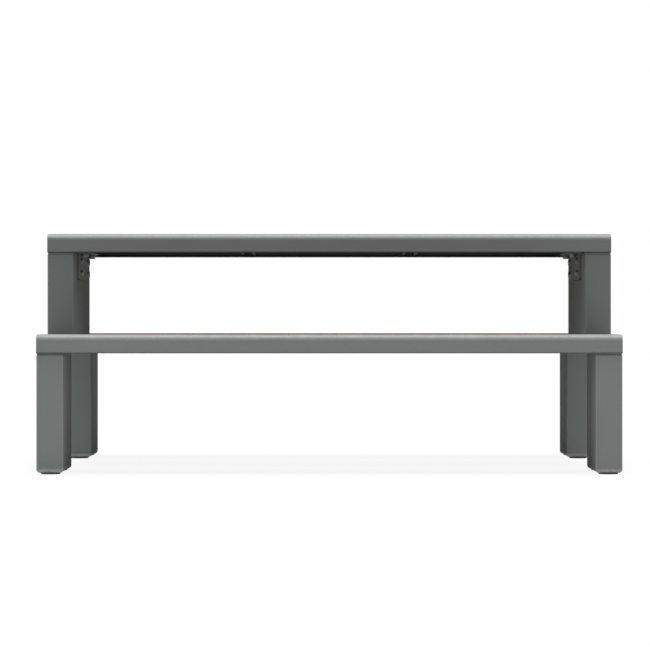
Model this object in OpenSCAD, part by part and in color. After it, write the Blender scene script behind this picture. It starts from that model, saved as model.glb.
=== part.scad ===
// Rectangular table with two attached benches, in folded painted steel with hardwood slats.
// Millimetres. X runs along the length, -Y is the front, +Z is up.
// The origin is on the floor, under the middle of the table.

/* [Overall] */
// Length of the table top and of both seats
length = 1800; // [1500:10:2400]
// Height of the table top above the floor
table_height = 750; // [700:5:800]
// Size of the table top from front to back
table_depth = 800; // [700:10:1000]
// Height of the seats above the floor
seat_height = 430; // [400:5:480]
// Size of one seat from front to back
seat_depth = 380; // [320:5:450]
// Clear gap, seen from above, between the table's edge and a seat
seat_gap = 50; // [20:5:150]

/* [Folded edges] */
// Height of the table's long edges
table_edge_h = 60; // [58:1:80]
// Height of the seats' long edges
seat_edge_h = 58; // [58:1:75]
// Width of the flange that an edge turns over the top
edge_flange = 50; // [36:1:64]
// Width of the lip that an edge turns in underneath
edge_lip = 18; // [10:1:24]
// Radius of the rolled corner along the top of an edge
edge_r = 20; // [8:1:24]
// Radius of the bend along the bottom of an edge
edge_low_r = 5; // [4:0.5:8]
// Radius over the two ends of an edge and of the end covers
end_r = 6; // [4:0.5:10]
// Thickness of the folded sheet
sheet_t = 3; // [2:0.5:3.5]

/* [Legs] */
// Thickness of a slab leg along the length
leg_w = 82; // [78:1:110]
// Distance of a leg's outer face inside the end of the edge above it
leg_inset = 0; // [0:0.5:3]
// Distance of a leg's front and back inside the edge above it
leg_setback = 10; // [2:1:12]
// Wall of a leg
leg_wall = 3; // [2:0.5:4]
// Radius of a leg's upright corners
leg_r = 4; // [3:0.5:8]
// Radius around the bottom of a floor leg
leg_low_r = 10; // [5:0.5:10]
// Thickness of the base inside a table leg
leg_base_t = 8; // [6:1:12]
// Height of the shadow gap between a leg and the edge above it
reveal = 6; // [4:1:12]
// Distance of the neck in that gap inside the leg's front and back
neck_inset = 6; // [4:1:10]
// Distance of the neck inside the leg's two wide faces
neck_side_inset = 1; // [1:0.5:6]

/* [End beams] */
// Width of an end beam
beam_w = 70; // [56:1:74]
// Wall of an end beam
beam_wall = 4; // [3:0.5:5]
// Corner radius of an end beam
beam_r = 6; // [5:0.5:8]
// Distance of a beam bolt from the next one
beam_bolt_gap = 200; // [120:10:210]

/* [End covers] */
// Distance that an end cover reaches past the leg under it
cover_margin = 6; // [3:1:12]

/* [Slats and bearers] */
// Number of slats in the table top
table_slats = 6; // [6]
// Number of slats in a seat
seat_slats = 3; // [3]
// Thickness of a slat
slat_t = 30; // [24:1:34]
// Gap between two slats
slat_gap = 8; // [5:0.5:12]
// Radius along the edges of a slat
slat_r = 3; // [1:0.5:5]
// Gap between a slat's end and the end cover
slat_end_gap = 4; // [2:0.5:8]
// Width of a bearer
bearer_w = 40; // [36:1:50]
// Height of a bearer
bearer_h = 23; // [20:1:24]
// Radius of a bearer's folds
bearer_r = 4; // [3.5:0.5:5]
// Distance of a cross brace from the middle of the length
brace_x = 273; // [200:1:350]
// Width of the rail along the inner side of a seat
rail_w = 30; // [26:1:36]
// Width of the foot that an end bearer turns over the bracket
bearer_foot_w = 28; // [26:1:30]

/* [Brackets] */
// Distance that a bracket reaches past its last bolt
bracket_end = 19; // [12:1:30]
// Height of a bracket's plate below the table's edge
bracket_h = 84; // [80:1:110]
// Thickness of a bracket
bracket_t = 8; // [5:0.5:10]
// Distance that a bracket's foot reaches from the leg
bracket_reach = 38; // [36:1:44]
// Distance of the two bolts in a bracket's plate, one over the other, from the middle of the table
bracket_y = 165; // [110:5:280]
// Corner radius of a bracket
bracket_r = 6; // [2:0.5:10]
// Distance between two bolts of a pair in a bracket's foot
bracket_foot_gap = 56; // [40:1:60]
// Height of the lower bolts above a bracket's bottom
bracket_bolt_z = 22; // [15:1:26]
// Distance between the lower and the upper bolts in a bracket's plate
bracket_bolt_gap = 40; // [24:1:44]

/* [Adjustable feet] */
// Diameter of a foot pad
foot_d = 60; // [40:1:60]
// Thickness of a foot pad
foot_t = 5; // [4.5:0.5:10]
// Distance of a foot's middle from the end of its leg
foot_inset = 36; // [36:1:80]
// Distance that a foot screws out
foot_travel = 15; // [5:1:20]
// Diameter of a foot's stud
stud_d = 12; // [8:1:14]
// Diameter of the head that holds the stud in its pad
stud_head_d = 20; // [18:1:24]
// Height of the threaded boss that a stud turns in
boss_h = 20; // [14:1:30]
// Diameter of that boss
boss_d = 26; // [22:1:32]

/* [Fasteners] */
// Diameter of a bracket bolt
bolt_d = 10; // [8:1:12]
// Grip and thread of a bracket bolt, below its head
bolt_len = 20; // [16:1:24]
// Diameter of a beam bolt
beam_bolt_d = 12; // [10:1:14]
// Diameter of a slat screw
screw_d = 5; // [4:0.5:6]
// Length of a slat screw, below its head
screw_len = 22; // [15:1:24]
// Distance of a slat screw from the middle of its slat
screw_spread = 28; // [20:1:30]

/* [Hidden] */
$fn = 48;
CUT = 1;
LEFT = -1;
RIGHT = 1;
FRONT = -1;
REAR = 1;
PAINT = [0.43, 0.45, 0.445];
WOOD = [0.42, 0.22, 0.15];
ZINC = [0.72, 0.73, 0.74];
BLACK = [0.08, 0.08, 0.08];

// Gap around a bolt in a plain hole, and around a thread or a sleeve in its seat
hole_gap = 0.5;
fit_gap = 0.05;

// Levels
table_low = table_height - table_edge_h;
table_bed = table_height - slat_t;
table_bearer_low = table_bed - bearer_h;
seat_low = seat_height - seat_edge_h;
seat_bed = seat_height - slat_t;
seat_bearer_low = seat_bed - bearer_h;
floor_leg_top = seat_low - reveal;
beam_top = seat_height - sheet_t;
table_leg_top = table_low - reveal;
neck_overlap = 1;
fold_least_r = 0.5;

// Places across the depth
seat_in = table_depth / 2 + seat_gap;
seat_out = seat_in + seat_depth;

// Places along the length
half = length / 2;
leg_out = half - leg_inset;
leg_in = leg_out - leg_w;
leg_mid = leg_out - leg_w / 2;
cover_w = leg_inset + leg_w + cover_margin;
cover_in = half - cover_w;
slat_half = cover_in - slat_end_gap;
end_bearer_mid = cover_in - bearer_w / 2;
end_screw_x = cover_in - (bearer_w + bearer_foot_w) / 2;
beam_half = seat_out - max(edge_r, edge_lip);
neck_w = leg_w - 2 * neck_side_inset;

// Slats
table_slat_w = (table_depth - 2 * edge_flange - (table_slats + 1) * slat_gap) / table_slats;
seat_slat_w = (seat_depth - edge_flange - seat_slats * slat_gap) / seat_slats;
rail_y = seat_in + seat_slat_w / 2 - screw_spread;

// Fasteners
bolt_r = bolt_d / 2;
bolt_head_h = 0.64 * bolt_d;
bolt_head_af = 1.7 * bolt_d;
washer_d = 2.1 * bolt_d;
washer_t = 2;
nut_wall = 1.5;
nut_r = bolt_r + nut_wall;
nut_len = 14;
beam_bolt_r = beam_bolt_d / 2;
beam_head_h = 0.6 * beam_bolt_d;
beam_head_af = 1.6 * beam_bolt_d;
beam_washer_d = 2.1 * beam_bolt_d;
beam_bolt_end = 3;
sleeve_wall = 3.5;
screw_r = screw_d / 2;
screw_head_r = screw_d;
screw_head_h = 0.6 * screw_d;
pilot_gap = 1;

// Brackets
bracket_low = table_low - bracket_h;
bracket_len = 2 * (bracket_y + bracket_foot_gap / 2 + bracket_end);
bracket_foot_low = table_bearer_low - bracket_t;
bracket_bolt_shift = 3;
bracket_foot_x = cover_in - bearer_foot_w / 2 - bracket_bolt_shift;
bolt_zs = [bracket_low + bracket_bolt_z, bracket_low + bracket_bolt_z + bracket_bolt_gap];

// Feet
foot_r = foot_d / 2;
foot_low_chamfer = 0.5;
foot_chamfer = 1;
stud_r = stud_d / 2;
stud_chamfer = 1;
stud_spare = 2;
stud_top = foot_t + leg_wall + boss_h + foot_travel + stud_spare;
head_seat_z = 0.4 * foot_t;
head_play = 0.2;
key_r = 4;
key_af = 6;
key_depth = 2;
FEET = [
    [LEFT, FRONT, 0], [LEFT, FRONT, 1], [RIGHT, FRONT, 0], [RIGHT, FRONT, 1],
    [LEFT, REAR, 0], [LEFT, REAR, 1], [RIGHT, REAR, 0], [RIGHT, REAR, 1]
];

function hex_r(across_flats) = across_flats / 2 / cos(30);
function table_slat_y(i) = -table_depth / 2 + edge_flange + slat_gap + (i - 1) * (table_slat_w + slat_gap);
function seat_slat_y(i) = -seat_out + edge_flange + slat_gap + (i - 1) * (seat_slat_w + slat_gap);
function slat_screw_ys(y, w, count) =
    [for (i = [0 : count - 1], s = [-1, 1]) y + i * (w + slat_gap) + w / 2 + s * screw_spread];
function table_screw_ys() = slat_screw_ys(table_slat_y(1), table_slat_w, table_slats);
function seat_screw_ys() = slat_screw_ys(seat_slat_y(1), seat_slat_w, seat_slats);
function foot_y(far) = far ? seat_in + leg_setback + foot_inset : seat_out - leg_setback - foot_inset;
function beam_bolt_ys() = [for (i = [-1.5 : 1 : 1.5]) i * beam_bolt_gap];
function bracket_ys() = [-bracket_y, bracket_y];
function bracket_foot_ys() = [for (c = bracket_ys(), s = [-0.5, 0.5]) c + s * bracket_foot_gap];

// Turns a piece drawn at the front right into the one at another end or side
module placed(end, side) {
    mirror([end == LEFT ? 1 : 0, 0, 0])
        mirror([0, side == REAR ? 1 : 0, 0])
            children();
}

// Sweeps an outline drawn across Y and Z along the length
module along_x(size) {
    rotate([90, 0, 90])
        linear_extrude(size, center = true)
            children();
}

// Sweeps an outline drawn across X and Z from front to back
module along_y(size) {
    rotate([90, 0, 0])
        linear_extrude(size, center = true)
            children();
}

// The sliver that a radius takes off the corner of an outline
module corner_cut(r) {
    difference() {
        translate([-CUT, -CUT])
            square(r + CUT);
        translate([r, r])
            circle(r);
    }
}

// A rectangle standing on the X axis, with one radius below and another above
module round_box(w, h, low, high) {
    difference() {
        translate([-w / 2, 0])
            square([w, h]);
        for (s = [0, 1]) {
            mirror([s, 0]) {
                if (low > 0)
                    translate([-w / 2, 0])
                        corner_cut(low);
                if (high > 0)
                    translate([-w / 2, h])
                        mirror([0, 1])
                            corner_cut(high);
            }
        }
    }
}

// Outline of a folded edge: flange above, rolled corner, face and lip below
module edge_outline(h) {
    difference() {
        square([edge_flange, h]);
        corner_cut(edge_low_r);
        translate([0, h])
            mirror([0, 1])
                corner_cut(edge_r);
    }
}

module edge_hollow(h) {
    difference() {
        union() {
            translate([sheet_t, sheet_t])
                square([edge_flange, h - 2 * sheet_t]);
            translate([edge_lip, -CUT])
                square([edge_flange, sheet_t + 2 * CUT]);
        }
        translate([sheet_t, sheet_t])
            corner_cut(edge_low_r - sheet_t);
        translate([sheet_t, h - sheet_t])
            mirror([0, 1])
                corner_cut(edge_r - sheet_t);
    }
}

// A folded edge with a plate welded into each end
module folded_edge(h) {
    color(PAINT)
        difference() {
            intersection() {
                along_x(length)
                    edge_outline(h);
                translate([0, edge_flange / 2, 0])
                    along_y(edge_flange + 2 * CUT)
                        round_box(length, h, 0, end_r);
            }
            along_x(length - 2 * sheet_t)
                edge_hollow(h);
        }
}

module table_edge(side) {
    placed(RIGHT, side)
        translate([0, -table_depth / 2, table_low])
            folded_edge(table_edge_h);
}

module seat_edge(side) {
    placed(RIGHT, side)
        translate([0, -seat_out, seat_low])
            folded_edge(seat_edge_h);
}

// Folded cap over one end of a top, its inner side turned down beside the slats
module end_cover(h, depth) {
    color(PAINT)
        along_y(depth)
            difference() {
                square([cover_w, h]);
                translate([cover_w, h])
                    mirror([0, 1])
                        mirror([1, 0])
                            corner_cut(end_r);
                difference() {
                    translate([sheet_t, -CUT])
                        square([cover_w - 2 * sheet_t, h - sheet_t + CUT]);
                    translate([cover_w - sheet_t, h - sheet_t])
                        mirror([0, 1])
                            mirror([1, 0])
                                corner_cut(end_r - sheet_t);
                }
                translate([-CUT, -CUT])
                    square([sheet_t + 2 * CUT, h - slat_t - bearer_h + CUT]);
            }
}

module table_cover(end) {
    placed(end, FRONT)
        translate([cover_in, 0, table_low])
            end_cover(table_edge_h, table_depth - 2 * edge_flange);
}

module seat_cover(end, side) {
    depth = seat_depth - edge_flange;
    placed(end, side)
        translate([cover_in, -seat_in - depth / 2, seat_low])
            end_cover(seat_edge_h, depth);
}

// Hollow slab leg, folded and welded, with a neck plate on its closed top
module slab_leg(depth, low, high, low_r, base_t) {
    rise = high - low;
    inner_r = max(leg_r - leg_wall, fold_least_r);
    inner_low_r = max(low_r - leg_wall, fold_least_r);
    difference() {
        union() {
            leg_block(leg_w, depth, low, rise, leg_r, low_r);
            translate([-neck_w / 2, -depth / 2 + neck_inset, high - neck_overlap])
                cube([neck_w, depth - 2 * neck_inset, reveal + neck_overlap]);
        }
        leg_block(leg_w - 2 * leg_wall, depth - 2 * leg_wall, low + base_t,
            rise - leg_wall - base_t, inner_r, inner_low_r);
    }
}

// Block rounded along its upright corners and around its bottom
module leg_block(w, depth, low, rise, side_r, low_r) {
    translate([0, 0, low])
        intersection() {
            translate([0, -depth / 2, 0])
                linear_extrude(rise)
                    round_box(w, depth, side_r, side_r);
            along_y(depth + 2 * CUT)
                round_box(w, rise, low_r, 0);
            along_x(w + 2 * CUT)
                round_box(depth, rise, low_r, 0);
        }
}

module floor_leg(end, side) {
    color(PAINT)
        placed(end, side)
            difference() {
                translate([leg_mid, -(seat_in + seat_out) / 2, 0])
                    slab_leg(seat_depth - 2 * leg_setback, foot_t, floor_leg_top, leg_low_r, leg_wall);
                for (far = [0, 1])
                    translate([leg_mid, -foot_y(far), 0])
                        cylinder(r = stud_r + 2 * hole_gap, h = foot_t + leg_wall + CUT);
            }
}

module table_leg(end) {
    color(PAINT)
        placed(end, FRONT)
            difference() {
                translate([leg_mid, 0, 0])
                    slab_leg(table_depth - 2 * leg_setback, beam_top, table_leg_top, leg_r, leg_base_t);
                for (y = beam_bolt_ys())
                    translate([leg_mid, y, beam_top - CUT])
                        cylinder(r = beam_bolt_r + fit_gap, h = leg_base_t + 2 * CUT);
                for (y = bracket_ys(), z = bolt_zs)
                    translate([leg_in - CUT, y, z])
                        rotate([0, 90, 0])
                            cylinder(r = nut_r + fit_gap, h = leg_wall + 2 * CUT);
            }
}

// Box beam that joins both benches and carries the table leg
module end_beam(end) {
    h = beam_top - seat_low;
    color(PAINT)
        placed(end, FRONT)
            translate([leg_mid, 0, seat_low])
                difference() {
                    along_y(2 * beam_half)
                        round_box(beam_w, h, beam_r, beam_r);
                    translate([0, 0, beam_wall])
                        along_y(2 * beam_half + 2 * CUT)
                            round_box(beam_w - 2 * beam_wall, h - 2 * beam_wall,
                                beam_r - beam_wall, beam_r - beam_wall);
                    for (y = beam_bolt_ys())
                        translate([0, y, -CUT])
                            cylinder(r = beam_bolt_r + hole_gap, h = h + 2 * CUT);
                }
}

module beam_sleeves() {
    h = beam_top - seat_low - 2 * beam_wall;
    color(ZINC)
        for (end = [LEFT, RIGHT], y = beam_bolt_ys())
            translate([end * leg_mid, y, seat_low + beam_wall])
                difference() {
                    cylinder(r = beam_bolt_r + hole_gap + sleeve_wall, h = h);
                    translate([0, 0, -CUT])
                        cylinder(r = beam_bolt_r + hole_gap, h = h + 2 * CUT);
                }
}

module beam_bolts() {
    color(ZINC)
        for (end = [LEFT, RIGHT], y = beam_bolt_ys())
            translate([end * leg_mid, y, seat_low])
                union() {
                    cylinder(r = beam_bolt_r, h = beam_top - seat_low + leg_base_t + beam_bolt_end);
                    translate([0, 0, -washer_t])
                        cylinder(d = beam_washer_d, h = washer_t);
                    translate([0, 0, -beam_head_h])
                        cylinder(r = hex_r(beam_head_af), h = beam_head_h, $fn = 6);
                }
}

// Inverted channel under the slats
module channel_outline(w) {
    difference() {
        round_box(w, bearer_h, 0, bearer_r);
        translate([0, -CUT])
            round_box(w - 2 * sheet_t, bearer_h - sheet_t + CUT, 0, bearer_r - sheet_t);
    }
}

module screw_hole() {
    translate([0, 0, -sheet_t - CUT])
        cylinder(r = screw_r + hole_gap, h = sheet_t + 2 * CUT);
}

// Channels from the long edge to the rail, two at the end covers and two between
module seat_bearers(side) {
    inner = rail_y + rail_w / 2;
    outer = seat_out - sheet_t;
    color(PAINT)
        for (end = [LEFT, RIGHT], x = [brace_x, end_bearer_mid])
            placed(end, side)
                difference() {
                    translate([x, -(inner + outer) / 2, seat_bearer_low])
                        along_y(outer - inner)
                            channel_outline(bearer_w);
                    for (y = seat_screw_ys())
                        translate([x, y, seat_bed])
                            screw_hole();
                }
}

module seat_rail(side) {
    color(PAINT)
        placed(RIGHT, side)
            difference() {
                translate([0, -rail_y, seat_bearer_low])
                    along_x(2 * cover_in)
                        channel_outline(rail_w);
                for (end = [LEFT, RIGHT], x = [brace_x, end_bearer_mid])
                    translate([end * x, -rail_y, seat_bed])
                        screw_hole();
            }
}

module table_cross_braces() {
    color(PAINT)
        for (end = [LEFT, RIGHT])
            difference() {
                translate([end * brace_x, 0, table_bearer_low])
                    along_y(table_depth - 2 * sheet_t)
                        channel_outline(bearer_w);
                for (y = table_screw_ys())
                    translate([end * brace_x, y, table_bed])
                        screw_hole();
            }
}

// Channels on their side at the ends of the table, with a foot for the brackets
module table_end_bearers() {
    color(PAINT)
        for (end = [LEFT, RIGHT])
            placed(end, FRONT)
                difference() {
                    translate([end_bearer_mid, 0, table_bearer_low])
                        along_y(table_depth - 2 * sheet_t)
                            difference() {
                                mirror([1, 0])
                                    round_box(bearer_w, bearer_h, 0, 0);
                                translate([-bearer_w / 2 - CUT, sheet_t])
                                    square([bearer_w - sheet_t + CUT, bearer_h - 2 * sheet_t]);
                                translate([-bearer_w / 2 - CUT, -CUT])
                                    square([bearer_w - bearer_foot_w + CUT, sheet_t + 2 * CUT]);
                            }
                    for (y = table_screw_ys())
                        translate([end_screw_x, y, table_bed])
                            screw_hole();
                    for (y = bracket_foot_ys())
                        translate([bracket_foot_x, y, table_bearer_low - CUT])
                            cylinder(r = nut_r + fit_gap, h = sheet_t + 2 * CUT);
                }
}

// Slat with softened long edges and a pilot hole for each screw
module slat(w, xs) {
    color(WOOD)
        difference() {
            translate([0, w / 2, 0])
                along_x(2 * slat_half)
                    round_box(w, slat_t, slat_r, slat_r);
            for (x = xs, end = [-1, 1], s = [-1, 1])
                translate([end * x, w / 2 + s * screw_spread, -CUT])
                    cylinder(r = screw_r + fit_gap, h = screw_len - sheet_t + pilot_gap + CUT);
        }
}

module seat_slat(side, i) {
    placed(RIGHT, side)
        translate([0, seat_slat_y(i), seat_bed])
            slat(seat_slat_w, [brace_x, end_bearer_mid]);
}

module table_slat(i) {
    translate([0, table_slat_y(i), table_bed])
        slat(table_slat_w, [brace_x, end_screw_x]);
}

// Pan head screw, its head against the web of a bearer
module slat_screw() {
    translate([0, 0, -sheet_t])
        union() {
            cylinder(r = screw_r, h = screw_len);
            translate([0, 0, -screw_head_h])
                cylinder(r = screw_head_r, h = screw_head_h);
        }
}

module slat_screws() {
    color(ZINC)
        for (end = [LEFT, RIGHT]) {
            for (x = [brace_x, end_screw_x], y = table_screw_ys())
                translate([end * x, y, table_bed])
                    slat_screw();
            for (side = [FRONT, REAR], x = [brace_x, end_bearer_mid], y = seat_screw_ys())
                placed(end, side)
                    translate([x, y, seat_bed])
                        slat_screw();
        }
}

// Long angle that bolts the table top to a table leg
module bracket() {
    rise = table_bearer_low - bracket_low;
    difference() {
        union() {
            translate([leg_in - bracket_t / 2, 0, bracket_low])
                along_x(bracket_t)
                    round_box(bracket_len, rise, bracket_r, 0);
            translate([leg_in - bracket_reach, -bracket_len / 2, bracket_foot_low])
                cube([bracket_reach, bracket_len, bracket_t]);
        }
        for (y = bracket_ys(), z = bolt_zs)
            translate([leg_in - bracket_t - CUT, y, z])
                rotate([0, 90, 0])
                    cylinder(r = bolt_r + hole_gap, h = bracket_t + 2 * CUT);
        for (y = bracket_foot_ys())
            translate([bracket_foot_x, y, bracket_foot_low - CUT])
                cylinder(r = bolt_r + hole_gap, h = bracket_t + 2 * CUT);
    }
}

module table_brackets() {
    color(PAINT)
        for (end = [LEFT, RIGHT])
            placed(end, FRONT)
                bracket();
}

// Puts a fastener drawn upwards at every bolt place of the two brackets
module at_bracket_bolts() {
    for (end = [LEFT, RIGHT])
        placed(end, FRONT) {
            for (y = bracket_ys(), z = bolt_zs)
                translate([leg_in - bracket_t, y, z])
                    rotate([0, 90, 0])
                        children();
            for (y = bracket_foot_ys())
                translate([bracket_foot_x, y, bracket_foot_low])
                    children();
        }
}

module bracket_bolts() {
    color(ZINC)
        at_bracket_bolts()
            union() {
                cylinder(r = bolt_r, h = bolt_len);
                translate([0, 0, -washer_t])
                    cylinder(d = washer_d, h = washer_t);
                translate([0, 0, -washer_t - bolt_head_h])
                    cylinder(r = hex_r(bolt_head_af), h = bolt_head_h, $fn = 6);
            }
}

// Sleeves set into the thin walls, which the bracket bolts screw into
module rivet_nuts() {
    color(ZINC)
        at_bracket_bolts()
            translate([0, 0, bracket_t])
                difference() {
                    cylinder(r = nut_r, h = nut_len);
                    translate([0, 0, -CUT])
                        cylinder(r = bolt_r + fit_gap, h = nut_len + 2 * CUT);
                }
}

// Puts a piece drawn at a foot's axis under one of the floor legs
module at_foot(n) {
    place = FEET[n - 1];
    translate([place[0] * leg_mid, place[1] * foot_y(place[2]), 0])
        children();
}

// Threaded bosses welded inside the bottoms of the floor legs
module foot_bosses() {
    color(ZINC)
        for (n = [1 : len(FEET)])
            at_foot(n)
                translate([0, 0, foot_t + leg_wall])
                    difference() {
                        cylinder(d = boss_d, h = boss_h);
                        translate([0, 0, -CUT])
                            cylinder(r = stud_r + fit_gap, h = boss_h + 2 * CUT);
                    }
}

// Round pad with a seat for the stud's head and a hole for the key
module foot_pad(n) {
    seat_r = stud_head_d / 2 + fit_gap;
    color(BLACK)
        at_foot(n)
            rotate_extrude()
                polygon([
                    [key_r, 0], [foot_r - foot_low_chamfer, 0], [foot_r, foot_low_chamfer],
                    [foot_r, foot_t - foot_chamfer], [foot_r - foot_chamfer, foot_t],
                    [seat_r, foot_t], [seat_r, head_seat_z], [key_r, head_seat_z]
                ]);
}

// Stud that screws up into its boss, with a hexagon socket under its head
module foot_stud(n) {
    color(ZINC)
        at_foot(n)
            difference() {
                rotate_extrude()
                    polygon([
                        [0, head_seat_z], [stud_head_d / 2, head_seat_z],
                        [stud_head_d / 2, foot_t - head_play], [stud_r, foot_t - head_play],
                        [stud_r, stud_top - stud_chamfer], [stud_r - stud_chamfer, stud_top], [0, stud_top]
                    ]);
                translate([0, 0, head_seat_z - CUT])
                    cylinder(r = hex_r(key_af), h = key_depth + CUT, $fn = 6);
            }
}

floor_leg(LEFT, FRONT);  // front_left_leg
floor_leg(RIGHT, FRONT);  // front_right_leg
floor_leg(LEFT, REAR);  // rear_left_leg
floor_leg(RIGHT, REAR);  // rear_right_leg
end_beam(LEFT);  // left_end_beam
end_beam(RIGHT);  // right_end_beam
table_leg(LEFT);  // left_table_leg
table_leg(RIGHT);  // right_table_leg
seat_edge(FRONT);  // front_seat_edge
seat_rail(FRONT);  // front_seat_rail
seat_cover(LEFT, FRONT);  // front_seat_left_cover
seat_cover(RIGHT, FRONT);  // front_seat_right_cover
seat_bearers(FRONT);  // front_seat_bearers
seat_slat(FRONT, 1);  // front_seat_slat_1
seat_slat(FRONT, 2);  // front_seat_slat_2
seat_slat(FRONT, 3);  // front_seat_slat_3
seat_edge(REAR);  // rear_seat_edge
seat_rail(REAR);  // rear_seat_rail
seat_cover(LEFT, REAR);  // rear_seat_left_cover
seat_cover(RIGHT, REAR);  // rear_seat_right_cover
seat_bearers(REAR);  // rear_seat_bearers
seat_slat(REAR, 1);  // rear_seat_slat_1
seat_slat(REAR, 2);  // rear_seat_slat_2
seat_slat(REAR, 3);  // rear_seat_slat_3
table_edge(FRONT);  // table_front_edge
table_edge(REAR);  // table_rear_edge
table_cover(LEFT);  // table_left_cover
table_cover(RIGHT);  // table_right_cover
table_end_bearers();
table_cross_braces();
table_brackets();
table_slat(1);  // table_slat_1
table_slat(2);  // table_slat_2
table_slat(3);  // table_slat_3
table_slat(4);  // table_slat_4
table_slat(5);  // table_slat_5
table_slat(6);  // table_slat_6
bracket_bolts();
rivet_nuts();
beam_bolts();
beam_sleeves();
slat_screws();
foot_bosses();
foot_pad(1);  // foot_pad_1
foot_pad(2);  // foot_pad_2
foot_pad(3);  // foot_pad_3
foot_pad(4);  // foot_pad_4
foot_pad(5);  // foot_pad_5
foot_pad(6);  // foot_pad_6
foot_pad(7);  // foot_pad_7
foot_pad(8);  // foot_pad_8
foot_stud(1);  // foot_stud_1
foot_stud(2);  // foot_stud_2
foot_stud(3);  // foot_stud_3
foot_stud(4);  // foot_stud_4
foot_stud(5);  // foot_stud_5
foot_stud(6);  // foot_stud_6
foot_stud(7);  // foot_stud_7
foot_stud(8);  // foot_stud_8
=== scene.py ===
# Rectangular table with two attached benches, in folded painted steel with hardwood slats.
# Metres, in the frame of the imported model: X along the length, -Y the front, Z up.
import math

import bpy
import numpy as np
from mathutils import Matrix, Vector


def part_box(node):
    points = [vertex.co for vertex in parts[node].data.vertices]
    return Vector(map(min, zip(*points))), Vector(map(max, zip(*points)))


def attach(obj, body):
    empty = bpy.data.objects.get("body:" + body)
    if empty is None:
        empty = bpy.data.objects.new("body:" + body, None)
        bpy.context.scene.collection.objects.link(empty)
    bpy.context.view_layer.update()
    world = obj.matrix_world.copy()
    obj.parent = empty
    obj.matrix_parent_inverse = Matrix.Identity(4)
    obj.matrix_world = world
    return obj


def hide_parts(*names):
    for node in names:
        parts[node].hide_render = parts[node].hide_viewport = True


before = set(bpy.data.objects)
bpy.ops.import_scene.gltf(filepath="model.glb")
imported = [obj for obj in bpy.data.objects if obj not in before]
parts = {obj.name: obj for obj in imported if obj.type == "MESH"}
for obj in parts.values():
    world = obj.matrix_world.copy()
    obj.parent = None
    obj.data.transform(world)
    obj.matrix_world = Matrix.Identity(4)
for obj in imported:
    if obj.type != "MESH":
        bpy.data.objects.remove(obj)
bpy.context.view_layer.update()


# FLOOR LEGS
# Four hollow slab legs of folded 3 mm sheet, welded shut and ground, two under each bench.
# They have a metallic grey powder coat, with painted shade, nearly black, inside the long edges.
def add(tree, kind, inputs=None, **settings):
    """Adds a node, with its settings, and its inputs as values or as links."""
    node = tree.nodes.new(kind)
    for key, value in settings.items():
        setattr(node, key, value)
    for key, value in (inputs or {}).items():
        if isinstance(value, bpy.types.NodeSocket):
            tree.links.new(value, node.inputs[key])
        else:
            node.inputs[key].default_value = value
    return node


def finish_named(name):
    """A new material, its node tree, its surface shader and the place on the piece."""
    material = bpy.data.materials.new(name)
    material.use_nodes = True
    tree = material.node_tree
    place = add(tree, "ShaderNodeTexCoord").outputs["Object"]
    return material, tree, tree.nodes["Principled BSDF"], place


def spots(tree, place, scale, detail=2.0, rough=0.5, stretch=None):
    """Noise over the piece, stretched along the axes where a stretch is given."""
    if stretch is not None:
        place = add(tree, "ShaderNodeMapping", {"Vector": place, "Scale": stretch}).outputs[0]
    return add(tree, "ShaderNodeTexNoise", {
        "Vector": place, "Scale": scale, "Detail": detail, "Roughness": rough}).outputs["Fac"]


def span(tree, value, low, high, to_low, to_high):
    """Takes a value from one range to another and holds it there."""
    return add(tree, "ShaderNodeMapRange", {
        "Value": value, "From Min": low, "From Max": high,
        "To Min": to_low, "To Max": to_high}).outputs["Result"]


def patches(tree, place, noise, levels):
    """Noise over the piece, taken from one range of levels to another."""
    return span(tree, spots(tree, place, *noise), *levels)


def calc(tree, operation, a, b=0.0):
    """One sum of two numbers."""
    return add(tree, "ShaderNodeMath", {0: a, 1: b}, operation=operation).outputs[0]


def times(tree, a, b):
    """The product of two numbers."""
    return calc(tree, "MULTIPLY", a, b)


def between(tree, value, low, high):
    """1 where a number lies between two others."""
    return times(tree, calc(tree, "GREATER_THAN", value, low), calc(tree, "LESS_THAN", value, high))


def tint(tree, share, a, b):
    """Colour a, going over to colour b by a share."""
    mix = add(tree, "ShaderNodeMix", {"Factor": share, "A": a, "B": b}, data_type="RGBA")
    return mix.outputs["Result"]


def sized(tree, vector, scale):
    """A colour or a vector made larger or smaller by a number."""
    return add(tree, "ShaderNodeVectorMath", {0: vector, "Scale": scale}, operation="SCALE").outputs[0]


def axis(tree, vector, letter):
    """One of the three numbers of a vector."""
    return add(tree, "ShaderNodeSeparateXYZ", {0: vector}).outputs[letter]


def raised(tree, shader, height, strength, distance, **base):
    """Gives a surface a fine relief."""
    relief = add(tree, "ShaderNodeBump", {
        "Height": height, "Strength": strength, "Distance": distance, **base}).outputs[0]
    tree.links.new(relief, shader.inputs["Normal"])


def glancing(tree, levels):
    """A level that changes where the surface turns away from the eye."""
    facing = add(tree, "ShaderNodeLayerWeight", {"Blend": 0.5}).outputs["Facing"]
    return span(tree, facing, *levels)


# Below, a pattern is a noise (spots to a metre, detail, roughness, stretch) with a range:
# from the first two levels to the last two. A range by itself reads a slope, a height or the like.
PAINT_GREY = (0.195, 0.2125, 0.207)
PAINT_CLOUDS = (2.3, 3), (0.3, 0.7, 0.97, 1.03)
PAINT_SPECKS = (420, 3, 0.7), (0.3, 0.7, 0.95, 1.05)

# Painted shade on the table's outer faces, fading out where they face up.
PAINTED_TABLE_SHADE_BY_SLOPE = (0.05, 0.4, 0.17, 0)
TABLE_FACE_DEPTH = 0.005
# Painted shade on faces that look down, above the scuffed bottoms.
PAINTED_UNDERSIDE_SHADE_BY_SLOPE = (-0.05, -0.7, 0, 0.5)

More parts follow.
